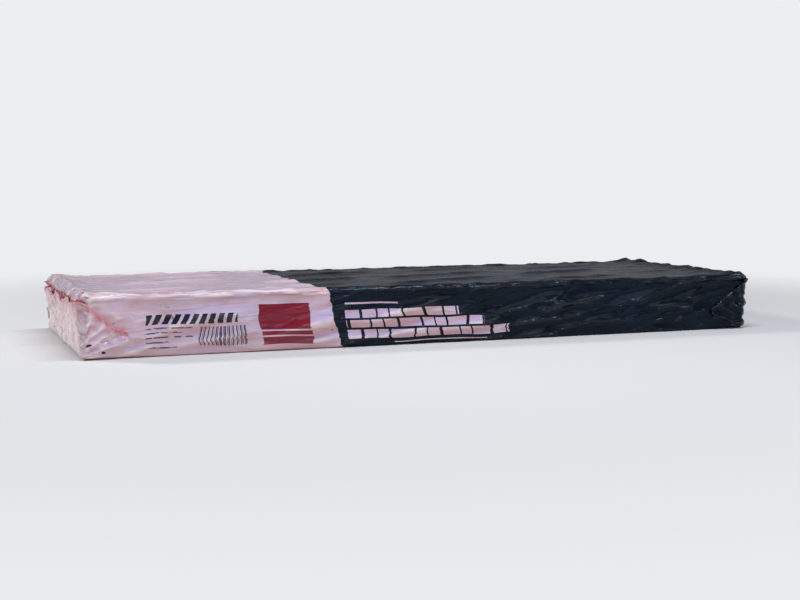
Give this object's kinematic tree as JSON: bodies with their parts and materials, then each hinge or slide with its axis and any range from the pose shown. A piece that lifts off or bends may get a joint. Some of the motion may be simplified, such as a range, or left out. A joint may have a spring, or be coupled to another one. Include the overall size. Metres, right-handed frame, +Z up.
{
  "type": "asphalt shingle bundle",
  "caption": "Flat bundle of laminated asphalt roofing shingles, laid back to back in a stack and closed in a wrinkled printed film wrapper with folded ends.",
  "frame": {"origin": "middle of the underside, on the surface that the bundle lies on", "axes": "+X along the shingles' length, towards the dark-printed end; +Y across them, away from the printed long side that the picture shows; +Z up, through the stack"},
  "size_m": [1.0064, 0.3486, 0.0853],
  "materials": {
    "printed_film": "thin polyethylene film, satin, wrinkled, pale pink at one end and black at the other",
    "granule_asphalt": "mineral granules pressed into asphalt, matte, weathered grey-brown blend"
  },
  "bodies": {
    "root": {"shingle_01": "granule_asphalt", "shingle_02": "granule_asphalt", "shingle_03": "granule_asphalt", "shingle_04": "granule_asphalt", "shingle_05": "granule_asphalt", "shingle_06": "granule_asphalt", "shingle_07": "granule_asphalt", "shingle_08": "granule_asphalt", "shingle_09": "granule_asphalt", "shingle_10": "granule_asphalt", "shingle_11": "granule_asphalt", "shingle_12": "granule_asphalt", "shingle_13": "granule_asphalt", "shingle_14": "granule_asphalt", "shingle_15": "granule_asphalt", "shingle_16": "granule_asphalt", "shingle_17": "granule_asphalt", "shingle_18": "granule_asphalt", "shingle_19": "granule_asphalt", "shingle_20": "granule_asphalt", "shingle_21": "granule_asphalt", "shingle_22": "granule_asphalt", "film_wrap": "printed_film"}
  },
  "joints": []
}
